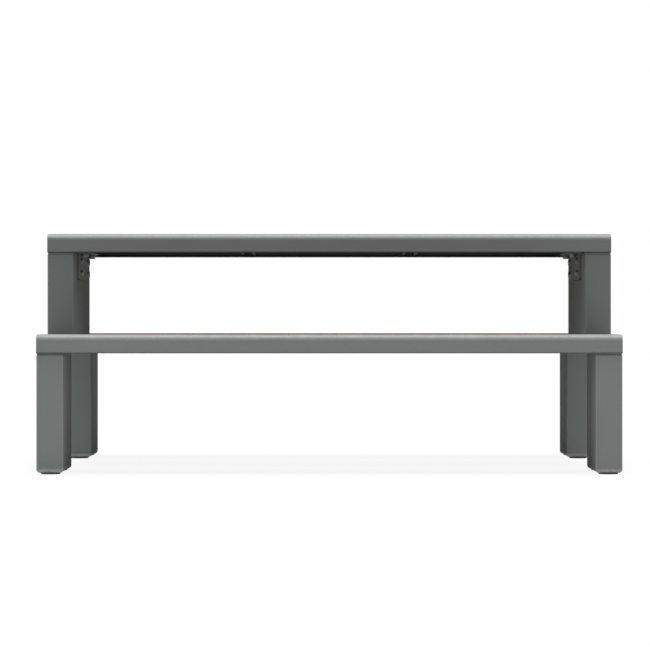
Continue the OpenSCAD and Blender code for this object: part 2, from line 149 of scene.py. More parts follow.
# Dust, and a painted highlight that lightens faces which look up.
DUST_AND_HIGHLIGHT = (0.38, 0.385, 0.375, 1)
DUST_AND_HIGHLIGHT_BY_SLOPE = (0.05, 0.7, 0, 0.50)
DUST_AND_HIGHLIGHT_PATCHES = (14, 5, 0.65), (0.35, 0.7, 0.5, 1)

SCUFF = (0.085, 0.087, 0.085, 1)
SCUFF_TOP, SCUFF_MOST = 0.11, 0.45
SCUFF_PATCHES = (1, 5, 0.7, (9, 9, 60)), (0.54, 0.70, 0, 1)

RUBBED_AND_LIT_GREY = (0.36, 0.38, 0.375, 1)
RUBBED_BY_TURN = (0.97, 0.8, 0, 0.5)
RUBBED_PATCHES = (45, 4, 0.7), (0.40, 0.60, 0.15, 1)
# A painted highlight band of floor light on the legs' bottom rounding, in the same grey as rubbed folds.
LIT_BAND_LOW, LIT_BAND_MID, LIT_BAND_HIGH = 0.0045, 0.0105, 0.019
LIT_BAND_PATCHES = (25, 4, 0.6), (0.35, 0.6, 0.45, 0.9)
FOLD_SHADING_R, FOLD_SAMPLES = 0.0012, 6

# Painted shade inside the long edges, nearly black, lighter over the upper part.
INSIDE_EDGE_SHADE = (0.022, 0.022, 0.023, 1)
INSIDE_EDGE_SHADE_SKIN, INSIDE_EDGE_SHADE_DEPTH, INSIDE_EDGE_SHADE_END_SKIN = 0.0016, 0.0046, 0.0035
EDGE_ROLL_R = 0.020
SHADE_LIFT_FROM, SHADE_LIFT_SHARE = 0.0070, 0.30

PAINT_GLOSS = (26, 4, 0.6), (0.3, 0.7, 0.42, 0.50)
DIRT_DULLS = 0.3
PAINT_METALLIC_BY_TURN = (0.80, 0.93, 0.28, 0)
PAINT_EDGE_TINT = (0.1, 0.1, 0.1, 1)
PAINT_PEEL, PAINT_FINE_PEEL, PAINT_FINE_SHARE = (240, 2, 0.55), (900, 2), 0.35
PAINT_RELIEF = (0.6, 0.00006)

paint, tree, shader, place = finish_named("grey_powder_coat")
height = axis(tree, place, "Z")
from_middle = calc(tree, "ABSOLUTE", axis(tree, place, "Y"))
from_centre = calc(tree, "ABSOLUTE", axis(tree, place, "X"))
normal = add(tree, "ShaderNodeNewGeometry").outputs["Normal"]
upward = axis(tree, normal, "Z")
colour = sized(tree, PAINT_GREY, times(tree, patches(tree, place, *PAINT_CLOUDS),
                                       patches(tree, place, *PAINT_SPECKS)))

# Painted shade: the table's outer front and rear faces are darker than the benches' except where they face
# up, and faces that look down are darker too.
bench_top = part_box("front_seat_edge")[1].z
table_face_y = -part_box("right_table_leg")[0].y - TABLE_FACE_DEPTH
on_table = times(tree, calc(tree, "GREATER_THAN", height, bench_top),
                 calc(tree, "GREATER_THAN", from_middle, table_face_y))
painted_table_shade = times(tree, on_table, span(tree, upward, *PAINTED_TABLE_SHADE_BY_SLOPE))
painted_underside_shade = times(tree, span(tree, upward, *PAINTED_UNDERSIDE_SHADE_BY_SLOPE), calc(tree, "GREATER_THAN", height, SCUFF_TOP))
for shade_loss in (painted_table_shade, painted_underside_shade):
    colour = sized(tree, colour, calc(tree, "SUBTRACT", 1.0, shade_loss))

# Dust lies on top, made lighter there as a painted highlight; scuffs run up the legs, folds are rubbed, and a
# painted highlight band lies on the legs' bottom rounding.
dust_and_highlight = times(tree, span(tree, upward, *DUST_AND_HIGHLIGHT_BY_SLOPE), patches(tree, place, *DUST_AND_HIGHLIGHT_PATCHES))
colour = tint(tree, dust_and_highlight, colour, DUST_AND_HIGHLIGHT)
scuff = times(tree, span(tree, height, SCUFF_TOP, 0.0, 0, SCUFF_MOST), patches(tree, place, *SCUFF_PATCHES))
colour = tint(tree, scuff, colour, SCUFF)
soft_edge = add(tree, "ShaderNodeBevel", {"Radius": FOLD_SHADING_R}, samples=FOLD_SAMPLES).outputs[0]
turn = add(tree, "ShaderNodeVectorMath", {0: soft_edge, 1: normal}, operation="DOT_PRODUCT").outputs["Value"]
rubbed = times(tree, span(tree, turn, *RUBBED_BY_TURN), patches(tree, place, *RUBBED_PATCHES))
# The legs' bottom rounding takes a painted highlight band of floor light.
painted_lit_band = times(tree, span(tree, height, LIT_BAND_LOW, LIT_BAND_MID, 0, 1),
               span(tree, height, LIT_BAND_MID, LIT_BAND_HIGH, 1, 0))
painted_lit_band = times(tree, painted_lit_band, patches(tree, place, *LIT_BAND_PATCHES))
colour = tint(tree, calc(tree, "MAXIMUM", rubbed, painted_lit_band), colour, RUBBED_AND_LIT_GREY)

# Painted shade: the inner side of each long edge is nearly black, a little lighter over its upper part.
for name in ("table_front_edge", "front_seat_edge"):
    low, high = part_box(name)
    painted_inside_shade = between(tree, from_middle, -low.y - INSIDE_EDGE_SHADE_DEPTH, -low.y - INSIDE_EDGE_SHADE_SKIN)
    painted_inside_shade = times(tree, painted_inside_shade, between(tree, height, low.z + INSIDE_EDGE_SHADE_SKIN, high.z - EDGE_ROLL_R))
    painted_inside_shade = times(tree, painted_inside_shade, calc(tree, "LESS_THAN", from_centre, high.x - INSIDE_EDGE_SHADE_END_SKIN))
    over = times(tree, calc(tree, "GREATER_THAN", height, low.z + SHADE_LIFT_FROM), SHADE_LIFT_SHARE)
    colour = tint(tree, times(tree, painted_inside_shade, calc(tree, "SUBTRACT", 1.0, over)), colour, INSIDE_EDGE_SHADE)
tree.links.new(colour, shader.inputs["Base Color"])

dirt = times(tree, calc(tree, "ADD", scuff, dust_and_highlight), DIRT_DULLS)
tree.links.new(calc(tree, "ADD", patches(tree, place, *PAINT_GLOSS), dirt), shader.inputs["Roughness"])
tree.links.new(glancing(tree, PAINT_METALLIC_BY_TURN), shader.inputs["Metallic"])
shader.inputs["Specular IOR Level"].default_value = 0.0
shader.inputs["Specular Tint"].default_value = PAINT_EDGE_TINT
fine_peel = times(tree, spots(tree, place, *PAINT_FINE_PEEL), PAINT_FINE_SHARE)
peel = calc(tree, "ADD", spots(tree, place, *PAINT_PEEL), fine_peel)
raised(tree, shader, peel, *PAINT_RELIEF, Normal=soft_edge)


def coated(names, material):
    """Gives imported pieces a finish."""
    for name in names:
        parts[name].data.materials.clear()
        parts[name].data.materials.append(material)


def painted(*names):
    """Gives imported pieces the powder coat."""
    coated(names, paint)


painted("front_left_leg", "front_right_leg", "rear_left_leg", "rear_right_leg")


# ADJUSTABLE FEET
# A zinc plated M12 stud with a hexagon socket turns in a black nylon pad under each end of a leg.
# The stud screws into a boss that is welded inside the leg's bottom, so the pad comes out with it.
ZINC_CLEAN, ZINC_STAINED = (0.42, 0.425, 0.43, 1), (0.27, 0.262, 0.24, 1)
ZINC_GLOSS = (0.36, 0.52)
SPANGLES, SPANGLE_TONE, SPANGLE_GLOSS = 620.0, (0, 1, 0.92, 1.06), (0, 1, -0.04, 0.04)
STAIN_NOISE, STAIN_SHARE, STAIN_LEVELS = (90, 5, 0.65), (0.4, 0.72, 0, 0.6), (0.3, 0.7)
ZINC_PEEL, ZINC_RELIEF = (900, 3), (0.5, 0.00004)


def zinc_plate(name, clean, stained, gloss):
    """Zinc plate in a clean and a stained colour, between two roughnesses."""
    material, tree, shader, place = finish_named(name)
    spangle = add(tree, "ShaderNodeTexVoronoi", {"Vector": place, "Scale": SPANGLES}).outputs["Color"]
    spangle = axis(tree, spangle, "X")
    stain = spots(tree, place, *STAIN_NOISE)
    colour = tint(tree, span(tree, stain, *STAIN_SHARE), clean, stained)
    colour = sized(tree, colour, span(tree, spangle, *SPANGLE_TONE))
    tree.links.new(colour, shader.inputs["Base Color"])
    dull = calc(tree, "ADD", span(tree, stain, *STAIN_LEVELS, *gloss), span(tree, spangle, *SPANGLE_GLOSS))
    tree.links.new(dull, shader.inputs["Roughness"])
    shader.inputs["Metallic"].default_value = 1.0
    raised(tree, shader, spots(tree, place, *ZINC_PEEL), *ZINC_RELIEF)
    return material


zinc = zinc_plate("dull_zinc_plate", ZINC_CLEAN, ZINC_STAINED, ZINC_GLOSS)

NYLON_BLACK, NYLON_RUBBED = (0.060, 0.060, 0.061, 1), (0.115, 0.114, 0.110, 1)
NYLON_RUBS = (60, 5, 0.7), (0.48, 0.70, 0, 0.6)
NYLON_MOTTLE = (700, 2), (0.3, 0.7, 0.8, 1.2)
NYLON_GLOSS = (240, 3), (0.3, 0.7, 0.48, 0.68)
NYLON_GRAIN, NYLON_RELIEF = (1400, 2), (0.6, 0.00008)

nylon, tree, shader, place = finish_named("black_moulded_nylon")
colour = tint(tree, patches(tree, place, *NYLON_RUBS), NYLON_BLACK, NYLON_RUBBED)
tree.links.new(sized(tree, colour, patches(tree, place, *NYLON_MOTTLE)), shader.inputs["Base Color"])
tree.links.new(patches(tree, place, *NYLON_GLOSS), shader.inputs["Roughness"])
raised(tree, shader, spots(tree, place, *NYLON_GRAIN), *NYLON_RELIEF)

PAD_R, PAD_T = 0.030, 0.005
PAD_KEY_R = 0.004
PAD_SEAT_R, PAD_SEAT_Z = 0.01005, 0.002
PAD_FLUTES, PAD_FLUTE_DEPTH = 36, 0.0006
PAD_STEPS = 216
PAD_LIP = 0.0003
PAD_GROOVES = (0.0105, 0.0165, 0.0225)
PAD_GROOVE_W, PAD_GROOVE_DEPTH = 0.002, 0.0004
PAD_RIM = ((0.0008, 0, 0), (0.0003, 0.0002, 1), (0, 0.0007, 1), (0, 0.0036, 1),
           (0.0003, 0.0043, 1), (0.0010, 0.0048, 0), (0.0018, PAD_T, 0))
PAD_RING_IN, PAD_RING_OUT, PAD_RING_SLOPE = 0.0127, 0.0150, 0.0005
PAD_SMOOTH_TO = 40


def shown(name, mesh, smooth_to=35):
    """Puts a mesh into the scene, smooth except where its faces turn sharply."""
    mesh.name = name
    mesh.shade_smooth()
    mesh.set_sharp_from_angle(angle=math.radians(smooth_to))
    piece = bpy.data.objects.new(name, mesh)
    bpy.context.scene.collection.objects.link(piece)
    return piece


def dressed(piece, body, slot, *nodes):
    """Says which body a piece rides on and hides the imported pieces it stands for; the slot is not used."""
    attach(piece, body)
    if nodes:
        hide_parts(*nodes)
    return piece


def pad_flute(angle):
    """Depth of the finger grips around the pad."""
    return PAD_FLUTE_DEPTH * (0.5 - 0.5 * math.cos(PAD_FLUTES * angle))


# The pad's section: radius, height and share of the grips' depth at each corner.
pad_outline = [(PAD_KEY_R, PAD_LIP, 0), (PAD_KEY_R + PAD_LIP, 0, 0)]
for r in PAD_GROOVES:
    pad_outline += [(r, 0, 0), (r + PAD_LIP, PAD_GROOVE_DEPTH, 0),
                    (r + PAD_GROOVE_W - PAD_LIP, PAD_GROOVE_DEPTH, 0), (r + PAD_GROOVE_W, 0, 0)]
pad_outline += [(PAD_R - inward, z, share) for inward, z, share in PAD_RIM]
pad_outline += [
    (PAD_RING_OUT, PAD_T, 0), (PAD_RING_OUT - PAD_RING_SLOPE, PAD_T - PAD_GROOVE_DEPTH, 0),
    (PAD_RING_IN + PAD_RING_SLOPE, PAD_T - PAD_GROOVE_DEPTH, 0), (PAD_RING_IN, PAD_T, 0),
    (PAD_SEAT_R + PAD_LIP, PAD_T, 0), (PAD_SEAT_R, PAD_T - PAD_LIP, 0),
    (PAD_SEAT_R, PAD_SEAT_Z, 0), (PAD_KEY_R, PAD_SEAT_Z, 0)]
pad_points, pad_faces = [], []
for k in range(PAD_STEPS):
    angle = 2 * math.pi * k / PAD_STEPS
    for i, (radius, z, share) in enumerate(pad_outline):
        r = radius - share * pad_flute(angle)
        pad_points.append((r * math.cos(angle), r * math.sin(angle), z))
        n, after, over = len(pad_outline), (k + 1) % PAD_STEPS, (i + 1) % len(pad_outline)
        pad_faces.append((k * n + i, after * n + i, after * n + over, k * n + over))

STUD_CORE_R, STUD_CREST = 0.0051, 0.0009
STUD_TOP = 0.044
STUD_HEAD_R, STUD_HEAD_TOP = 0.010, 0.0048
STUD_KEY_AF, STUD_KEY_DEPTH = 0.006, 0.002
STUD_PLAY = 0.00005
STUD_SIDES = 32
THREAD_PITCH, THREAD_LOW = 0.00175, 0.0062
THREAD_STEPS, THREAD_SIDES = 24, 4


def new_tree(name, *inputs):
    """An empty Geometry Nodes tree with named inputs, its input sockets and its output."""
    tree = bpy.data.node_groups.new(name, "GeometryNodeTree")
    tree.is_modifier = True
    tree.interface.new_socket("Geometry", in_out="INPUT", socket_type="NodeSocketGeometry")
    tree.interface.new_socket("Geometry", in_out="OUTPUT", socket_type="NodeSocketGeometry")
    for label, kind in inputs:
        tree.interface.new_socket(label, in_out="INPUT", socket_type="NodeSocket" + kind)
    return tree, add(tree, "NodeGroupInput").outputs, add(tree, "NodeGroupOutput").inputs[0]


def close_tree(tree, geometry, material_socket, output):
    """Ends a tree in plain geometry with its material."""
    real = add(tree, "GeometryNodeRealizeInstances", {0: geometry}).outputs[0]
    dressed_mesh = add(tree, "GeometryNodeSetMaterial", {"Geometry": real, "Material": material_socket})
    tree.links.new(dressed_mesh.outputs[0], output)


def grown(name, tree, values, points=((0, 0, 0),), edges=(), aims=None, smooth_to=35):
    """Runs a tree on points or lines, and keeps the result as a plain mesh."""
    seed = bpy.data.meshes.new(name + "_points")
    seed.from_pydata([tuple(p) for p in points], list(edges), [])
    if aims is not None:
        attribute = seed.attributes.new("aim", "FLOAT_VECTOR", "POINT")
        attribute.data.foreach_set("vector", np.array(aims, np.float32).ravel())
    holder = bpy.data.objects.new(name + "_holder", seed)
    bpy.context.scene.collection.objects.link(holder)
    modifier = holder.modifiers.new("grow", "NODES")
    modifier.node_group = tree
    for item in tree.interface.items_tree:
        if item.item_type == "SOCKET" and item.in_out == "INPUT" and item.name in values:
            modifier[item.identifier] = values[item.name]
    holder.update_tag()
    evaluated = holder.evaluated_get(bpy.context.evaluated_depsgraph_get())
    mesh = bpy.data.meshes.new_from_object(evaluated)
    bpy.data.objects.remove(holder)
    return shown(name, mesh, smooth_to)


def up_to(tree, z):
    """A shift straight up."""
    return add(tree, "ShaderNodeCombineXYZ", {"Z": z}).outputs[0]


def moved_up(tree, geometry, z):
    """A shape moved straight up."""
    return add(tree, "GeometryNodeTransform", {
        "Geometry": geometry, "Translation": up_to(tree, z)}).outputs[0]


def rod(tree, radius, low, high, sides=48):
    """A round or many-sided bar between two heights."""
    bar = add(tree, "GeometryNodeMeshCylinder", {
        "Vertices": sides, "Radius": radius, "Depth": calc(tree, "SUBTRACT", high, low)}).outputs["Mesh"]
    return moved_up(tree, bar, times(tree, calc(tree, "ADD", high, low), 0.5))


def ring(tree, steps, radius):
    """A closed line of a few equal sides, for the section of a thread or a bead."""
    return add(tree, "GeometryNodeCurvePrimitiveCircle", {"Resolution": steps, "Radius": radius},
               mode="RADIUS").outputs[0]


def cut_out(tree, mesh, tool):
    """A mesh less another."""
    return add(tree, "GeometryNodeMeshBoolean", {"Mesh 1": mesh, "Mesh 2": tool},
               operation="DIFFERENCE", solver="EXACT").outputs[0]


def joined(tree, *meshes):
    """Several meshes as one."""
    node = add(tree, "GeometryNodeJoinGeometry")
    for mesh in meshes:
        tree.links.new(mesh, node.inputs[0])
    return node.outputs[0]


stud_tree, given, out = new_tree(
    "threaded_stud", ("Core radius", "Float"), ("Crest", "Float"), ("Pitch", "Float"), ("Low", "Float"),
    ("Top", "Float"), ("Head radius", "Float"), ("Head top", "Float"), ("Head low", "Float"),
    ("Key radius", "Float"), ("Key depth", "Float"), ("Material", "Material"))
core = rod(stud_tree, given["Core radius"], given["Head top"], given["Top"], STUD_SIDES)
head = rod(stud_tree, given["Head radius"], given["Head low"], given["Head top"])
key = rod(stud_tree, given["Key radius"], calc(stud_tree, "SUBTRACT", given["Head low"], given["Key depth"]),
          calc(stud_tree, "ADD", given["Head low"], given["Key depth"]), 6)
rise = calc(stud_tree, "SUBTRACT", given["Top"], given["Low"])
helix = add(stud_tree, "GeometryNodeCurveSpiral", {
    "Resolution": THREAD_STEPS, "Rotations": calc(stud_tree, "DIVIDE", rise, given["Pitch"]),
    "Start Radius": given["Core radius"], "End Radius": given["Core radius"], "Height": rise}).outputs[0]
helix = moved_up(stud_tree, helix, given["Low"])
helix = add(stud_tree, "GeometryNodeSetCurveNormal", {0: helix}, mode="Z_UP").outputs[0]
thread = add(stud_tree, "GeometryNodeCurveToMesh", {
    "Curve": helix, "Profile Curve": ring(stud_tree, THREAD_SIDES, given["Crest"]), "Fill Caps": True})
stud = joined(stud_tree, core, cut_out(stud_tree, head, key), thread.outputs[0])
close_tree(stud_tree, stud, given["Material"], out)

for i in range(1, 9):
    low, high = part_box("foot_pad_%d" % i)
    foot_x, foot_y = (low.x + high.x) / 2, (low.y + high.y) / 2
    mesh = bpy.data.meshes.new("pad")
    mesh.from_pydata([(x + foot_x, y + foot_y, z) for x, y, z in pad_points], [], pad_faces)
    mesh.materials.append(nylon)
    piece = shown("nylon_pad_%d" % i, mesh, PAD_SMOOTH_TO)
    dressed(piece, "pad_%d" % i, "black_plastic", "foot_pad_%d" % i)
    piece = grown("threaded_stud_%d" % i, stud_tree, {
        "Core radius": STUD_CORE_R, "Crest": STUD_CREST, "Pitch": THREAD_PITCH, "Low": THREAD_LOW,
        "Top": STUD_TOP, "Head radius": STUD_HEAD_R, "Head top": STUD_HEAD_TOP,
        "Head low": PAD_SEAT_Z + STUD_PLAY, "Key radius": STUD_KEY_AF / 2 / math.cos(math.pi / 6),
        "Key depth": STUD_KEY_DEPTH, "Material": zinc})
    piece.data.transform(Matrix.Translation((foot_x, foot_y, 0)))
    dressed(piece, "stud_%d" % i, "plated_steel", "foot_stud_%d" % i)


def plated(*names):
    """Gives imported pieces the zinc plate."""
    coated(names, zinc)


plated("foot_bosses")


# END BEAMS
# A box beam, 70 mm wide, joins the two benches at each end and is welded to the tops of the legs.
# Four dark plated M12 bolts go up through sleeves in it into the base of the table leg.
painted("left_end_beam", "right_end_beam")
plated("beam_sleeves")

DARK_ZINC_CLEAN, DARK_ZINC_STAINED = (0.26, 0.262, 0.265, 1), (0.18, 0.175, 0.165, 1)
DARK_ZINC_GLOSS = (0.42, 0.58)
dark_zinc = zinc_plate("dark_zinc_plate", DARK_ZINC_CLEAN, DARK_ZINC_STAINED, DARK_ZINC_GLOSS)

BEAM_BOLT_YS = (-0.3, -0.1, 0.1, 0.3)
M12_R, M12_LEN = 0.006, 0.066
M12_HEAD_AF, M12_HEAD_H = 0.0192, 0.0052
M12_WASHER_R = 0.0126
WASHER_T = 0.002
HEX_FACE_SHARE = 0.95
HEX_CHAMFER = math.tan(math.radians(60))
SHANK_SIDES, WASHER_SIDES, HEX_CONE_SIDES = 20, 36, 48
BOLT_TURN_SEED = 7

bolt_tree, given, out = new_tree(
    "hexagon_bolt", ("Shank radius", "Float"), ("Shank length", "Float"), ("Across flats", "Float"),
    ("Head height", "Float"), ("Washer radius", "Float"), ("Washer thickness", "Float"),
    ("Material", "Material"))
shank = rod(bolt_tree, given["Shank radius"], 0.0, given["Shank length"], SHANK_SIDES)
washer_low = times(bolt_tree, given["Washer thickness"], -1.0)
head_low = calc(bolt_tree, "SUBTRACT", washer_low, given["Head height"])
washer = rod(bolt_tree, given["Washer radius"], washer_low, 0.0, WASHER_SIDES)
corner_r = times(bolt_tree, given["Across flats"], 0.5 / math.cos(math.pi / 6))
below_head = calc(bolt_tree, "SUBTRACT", head_low, given["Head height"])
hexagon = rod(bolt_tree, corner_r, below_head, washer_low, 6)
face_r = times(bolt_tree, given["Across flats"], 0.5 * HEX_FACE_SHARE)
cone_height = times(bolt_tree, given["Head height"], 2.0)
cone = add(bolt_tree, "GeometryNodeMeshCone", {
    "Vertices": HEX_CONE_SIDES, "Radius Bottom": face_r,
    "Radius Top": calc(bolt_tree, "ADD", face_r, times(bolt_tree, cone_height, HEX_CHAMFER)),
    "Depth": cone_height}).outputs["Mesh"]
cone = moved_up(bolt_tree, cone, head_low)
head = add(bolt_tree, "GeometryNodeMeshBoolean", operation="INTERSECT")
bolt_tree.links.new(hexagon, head.inputs["Mesh 2"])
bolt_tree.links.new(cone, head.inputs["Mesh 2"])
bolt = joined(bolt_tree, shank, washer, head.outputs[0])


def set_along(tree, points, instance, turn_to, seed):
    """Sets a fastener at each point, along the point's aim and turned at random about it."""
    aim = add(tree, "GeometryNodeInputNamedAttribute", {"Name": "aim"}, data_type="FLOAT_VECTOR").outputs[0]
    along = add(tree, "FunctionNodeAlignRotationToVector", {"Vector": aim}, axis="Z").outputs[0]
    draws = add(tree, "FunctionNodeRandomValue", {"Min": 0.0, "Max": turn_to, "Seed": seed},
                data_type="FLOAT").outputs
    angle = [socket for socket in draws if socket.type == "VALUE" and socket.enabled][0]
    spin = add(tree, "FunctionNodeEulerToRotation", {0: up_to(tree, angle)}).outputs[0]
    spun = add(tree, "FunctionNodeRotateRotation", {0: along, 1: spin}, rotation_space="LOCAL").outputs[0]
    return add(tree, "GeometryNodeInstanceOnPoints", {
        "Points": points, "Instance": instance, "Rotation": spun}).outputs[0]


close_tree(bolt_tree, set_along(bolt_tree, given["Geometry"], bolt, math.pi / 3, BOLT_TURN_SEED),
           given["Material"], out)

beam_low, beam_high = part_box("right_end_beam")
beam_x = (beam_low.x + beam_high.x) / 2
places = [(end * beam_x, y, beam_low.z) for end in (-1, 1) for y in BEAM_BOLT_YS]
piece = grown("beam_hexagon_bolts", bolt_tree, {
    "Shank radius": M12_R, "Shank length": M12_LEN, "Across flats": M12_HEAD_AF,
    "Head height": M12_HEAD_H, "Washer radius": M12_WASHER_R, "Washer thickness": WASHER_T,
    "Material": dark_zinc}, places, aims=[(0, 0, 1)] * len(places))
dressed(piece, "frame", "plated_steel", "beam_bolts")

WELD_R = 0.0022
WELD_RIPPLE, WELD_RIPPLE_SHARE = 0.0032, 0.14
WELD_STEP, WELD_SIDES = 0.0008, 8
WELD_SMOOTH_TO = 60
BEAM_FLAT_HALF, BEAM_WELD_IN = 0.028, 0.001

weld_tree, given, out = new_tree(
    "weld_bead", ("Radius", "Float"), ("Ripple", "Float"), ("Ripple share", "Float"), ("Step", "Float"),
    ("Material", "Material"))
line = add(weld_tree, "GeometryNodeMeshToCurve", {0: given["Geometry"]}).outputs[0]
line = add(weld_tree, "GeometryNodeResampleCurve", {"Curve": line, "Length": given["Step"]},
           mode="LENGTH").outputs[0]
along = add(weld_tree, "GeometryNodeSplineParameter").outputs["Length"]
ripples = calc(weld_tree, "DIVIDE", times(weld_tree, along, 2 * math.pi), given["Ripple"])
wave = calc(weld_tree, "SINE", ripples)
thick = calc(weld_tree, "ADD", 1.0, times(weld_tree, wave, given["Ripple share"]))
bead = add(weld_tree, "GeometryNodeCurveToMesh", {
    "Curve": line, "Profile Curve": ring(weld_tree, WELD_SIDES, given["Radius"]), "Scale": thick,
    "Fill Caps": True}).outputs[0]
close_tree(weld_tree, bead, given["Material"], out)


def welded(name, lines):
    """Lays a painted weld bead along each line, given as its two ends."""
    points = [p for pair in lines for p in pair]
    edges = [(2 * i, 2 * i + 1) for i in range(len(lines))]
    piece = grown(name, weld_tree, {
        "Radius": WELD_R, "Ripple": WELD_RIPPLE, "Ripple share": WELD_RIPPLE_SHARE, "Step": WELD_STEP,
        "Material": paint}, points, edges, smooth_to=WELD_SMOOTH_TO)
    dressed(piece, "frame", "painted_steel")


# A bead lies across the top of each beam, where it goes in under a bench.
weld_y = -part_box("front_seat_right_cover")[1].y - BEAM_WELD_IN
lines = []
for x in (-beam_x, beam_x):
    for y in (-weld_y, weld_y):
        lines.append(((x - BEAM_FLAT_HALF, y, beam_high.z), (x + BEAM_FLAT_HALF, y, beam_high.z)))
welded("beam_welds", lines)


# SEAT FRAMES
# Each bench has one long edge of folded sheet with a rolled top corner and closed, rounded ends.
# Covers, channels and a rail along the inner side are welded to it and carry the slats.
for side in ("front", "rear"):
    pieces = ("edge", "rail", "bearers", "left_cover", "right_cover")
    painted(*["%s_seat_%s" % (side, piece) for piece in pieces])

CHANNEL_HALF = 0.020
WELD_SET_IN = 0.0006

bearers_low, bearers_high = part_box("front_seat_bearers")
rail_low, rail_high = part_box("front_seat_rail")
brace_low, brace_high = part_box("table_cross_braces")
brace_x = brace_high.x - CHANNEL_HALF
end_channel_x = bearers_high.x - CHANNEL_HALF
seat_channel_xs = (-end_channel_x, -brace_x, brace_x, end_channel_x)


def upright(x, y, low, high):
    """The two ends of a weld that runs straight up."""
    return (x, y, low), (x, y, high)


def flank_welds(x, y, low, high):
    """A weld up each flank of a channel, where its end meets an edge."""
    reach = CHANNEL_HALF + WELD_SET_IN
    return [upright(x + flank * reach, y, low, high) for flank in (-1, 1)]


lines = []
for side in (-1, 1):
    for x in seat_channel_xs:
        lines += flank_welds(x, side * (-bearers_low.y - WELD_SET_IN), bearers_low.z, bearers_high.z)
    for end in (-1, 1):
        for y in (-rail_low.y + WELD_SET_IN, -rail_high.y - WELD_SET_IN):
            lines.append(upright(end * (rail_high.x - WELD_SET_IN), side * y, rail_low.z, rail_high.z))
welded("seat_frame_welds", lines)


# TABLE LEGS AND BRACKETS
# Two deep slab legs stand on the end beams and carry the table top on a neck.
# A long angle holds the top to each of them, with M10 bolts into rivet nuts.
painted("left_table_leg", "right_table_leg", "table_brackets")
plated("rivet_nuts")

BRACKET_T = 0.008
BRACKET_YS = (-0.165, 0.165)
BRACKET_BOLT_ZS = (0.628, 0.668)
BRACKET_FOOT_X = 0.795
BRACKET_FOOT_HALF_GAP = 0.028
M10_R, M10_LEN = 0.005, 0.020
M10_HEAD_AF, M10_HEAD_H = 0.017, 0.0064
M10_WASHER_R = 0.0105

bracket_low, bracket_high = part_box("table_brackets")
plate_x, foot_z = bracket_high.x - BRACKET_T, bracket_high.z - BRACKET_T
places, aims = [], []
for end in (-1, 1):
    for y in BRACKET_YS:
        places += [(end * plate_x, y, z) for z in BRACKET_BOLT_ZS]
        aims += [(end, 0, 0)] * len(BRACKET_BOLT_ZS)
        places += [(end * BRACKET_FOOT_X, y + side * BRACKET_FOOT_HALF_GAP, foot_z) for side in (-1, 1)]
        aims += [(0, 0, 1)] * 2
piece = grown("bracket_hexagon_bolts", bolt_tree, {
    "Shank radius": M10_R, "Shank length": M10_LEN, "Across flats": M10_HEAD_AF,
    "Head height": M10_HEAD_H, "Washer radius": M10_WASHER_R, "Washer thickness": WASHER_T,
    "Material": dark_zinc}, places, aims=aims)
dressed(piece, "frame", "plated_steel", "bracket_bolts")


# TABLE FRAME
# Two long folded edges and two end covers, with channels under the slats.
# The channels are welded to the edges at their ends and to the covers in short runs.
painted("table_front_edge", "table_rear_edge", "table_left_cover", "table_right_cover")
painted("table_end_bearers", "table_cross_braces")

RUN_YS, RUN_HALF = (-0.33, -0.25, 0.0, 0.25, 0.33), 0.0125

cover_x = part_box("table_right_cover")[0].x
lines = []
for side in (-1, 1):
    for x in (-brace_x, brace_x):
        lines += flank_welds(x, side * (-brace_low.y - WELD_SET_IN), brace_low.z, brace_high.z)
for end in (-1, 1):
    for y in RUN_YS:
        lines.append(((end * cover_x, y - RUN_HALF, brace_low.z), (end * cover_x, y + RUN_HALF, brace_low.z)))
welded("table_frame_welds", lines)


# SLATS
# Twelve planed hardwood boards, 30 mm thick, oiled matt, with all their edges softened.
# Each lies 8 mm from the next, and is screwed from below.
BOARD_SHIFT = 3.7
BOARD_TONE = (0, 1, 0.80, 1.15)
HEART_STEP, HEART_SPREAD = 0.377, 0.17
LOG_REPEAT, LOG_WANDER, LOG_WANDER_SHARE = 0.16, (1, 2, 0.5, (1.1, 4, 4)), 0.11
LOG_DEPTH, LOG_DEPTH_SHARE, LOG_DEPTH_LEAST = (1, 1, 0.5, (0.7, 2, 2)), 0.07, 0.01
RINGS, RING_DETAIL, RING_ROUGH, RING_SHARE = 210.0, 2.0, 0.55, 0.30
STREAKS, STREAK_SHARE = (1, 4, 0.55, (1.6, 46, 46)), 0.30
FIBRES, FIBRE_SHARE = (1, 5, 0.62, (9, 380, 380)), 0.22
WOOD_CLOUDS, CLOUD_SHARE = (1, 3, 0.5, (0.9, 6, 6)), 0.18
PORES = (1, 2, 0.5, (60, 1500, 1500)), (0.60, 0.70, 0, 1)
PORE_BROWN, PORE_SHARE = (0.045, 0.015, 0.01, 1), 0.6
DARK_BROWN, DARK_AT = (0.090, 0.026, 0.014, 1), 0.36
MIDDLE_BROWN, MIDDLE_AT = (0.178, 0.058, 0.031, 1), 0.50
PALE_BROWN, PALE_AT = (0.290, 0.112, 0.060, 1), 0.66
WOOD_GLOSS, PORE_DULLS = (0.3, 0.7, 0.56, 0.70), 0.1
WOOD_SHEEN_BY_TURN = (0.85, 0.97, 0.25, 0)
WOOD_RELIEF, RELIEF_FIBRE_SHARE = (0.6, 0.0003), 0.5

wood, tree, shader, place = finish_named("oiled_hardwood")
plank = add(tree, "ShaderNodeAttribute", attribute_name="plank", attribute_type="GEOMETRY").outputs["Fac"]
board = add(tree, "ShaderNodeTexWhiteNoise", {"W": plank}, noise_dimensions="1D")
board_tone = board.outputs["Value"]
board_shift = sized(tree, board.outputs["Color"], BOARD_SHIFT)
place = add(tree, "ShaderNodeVectorMath", {0: place, 1: board_shift}, operation="ADD").outputs[0]

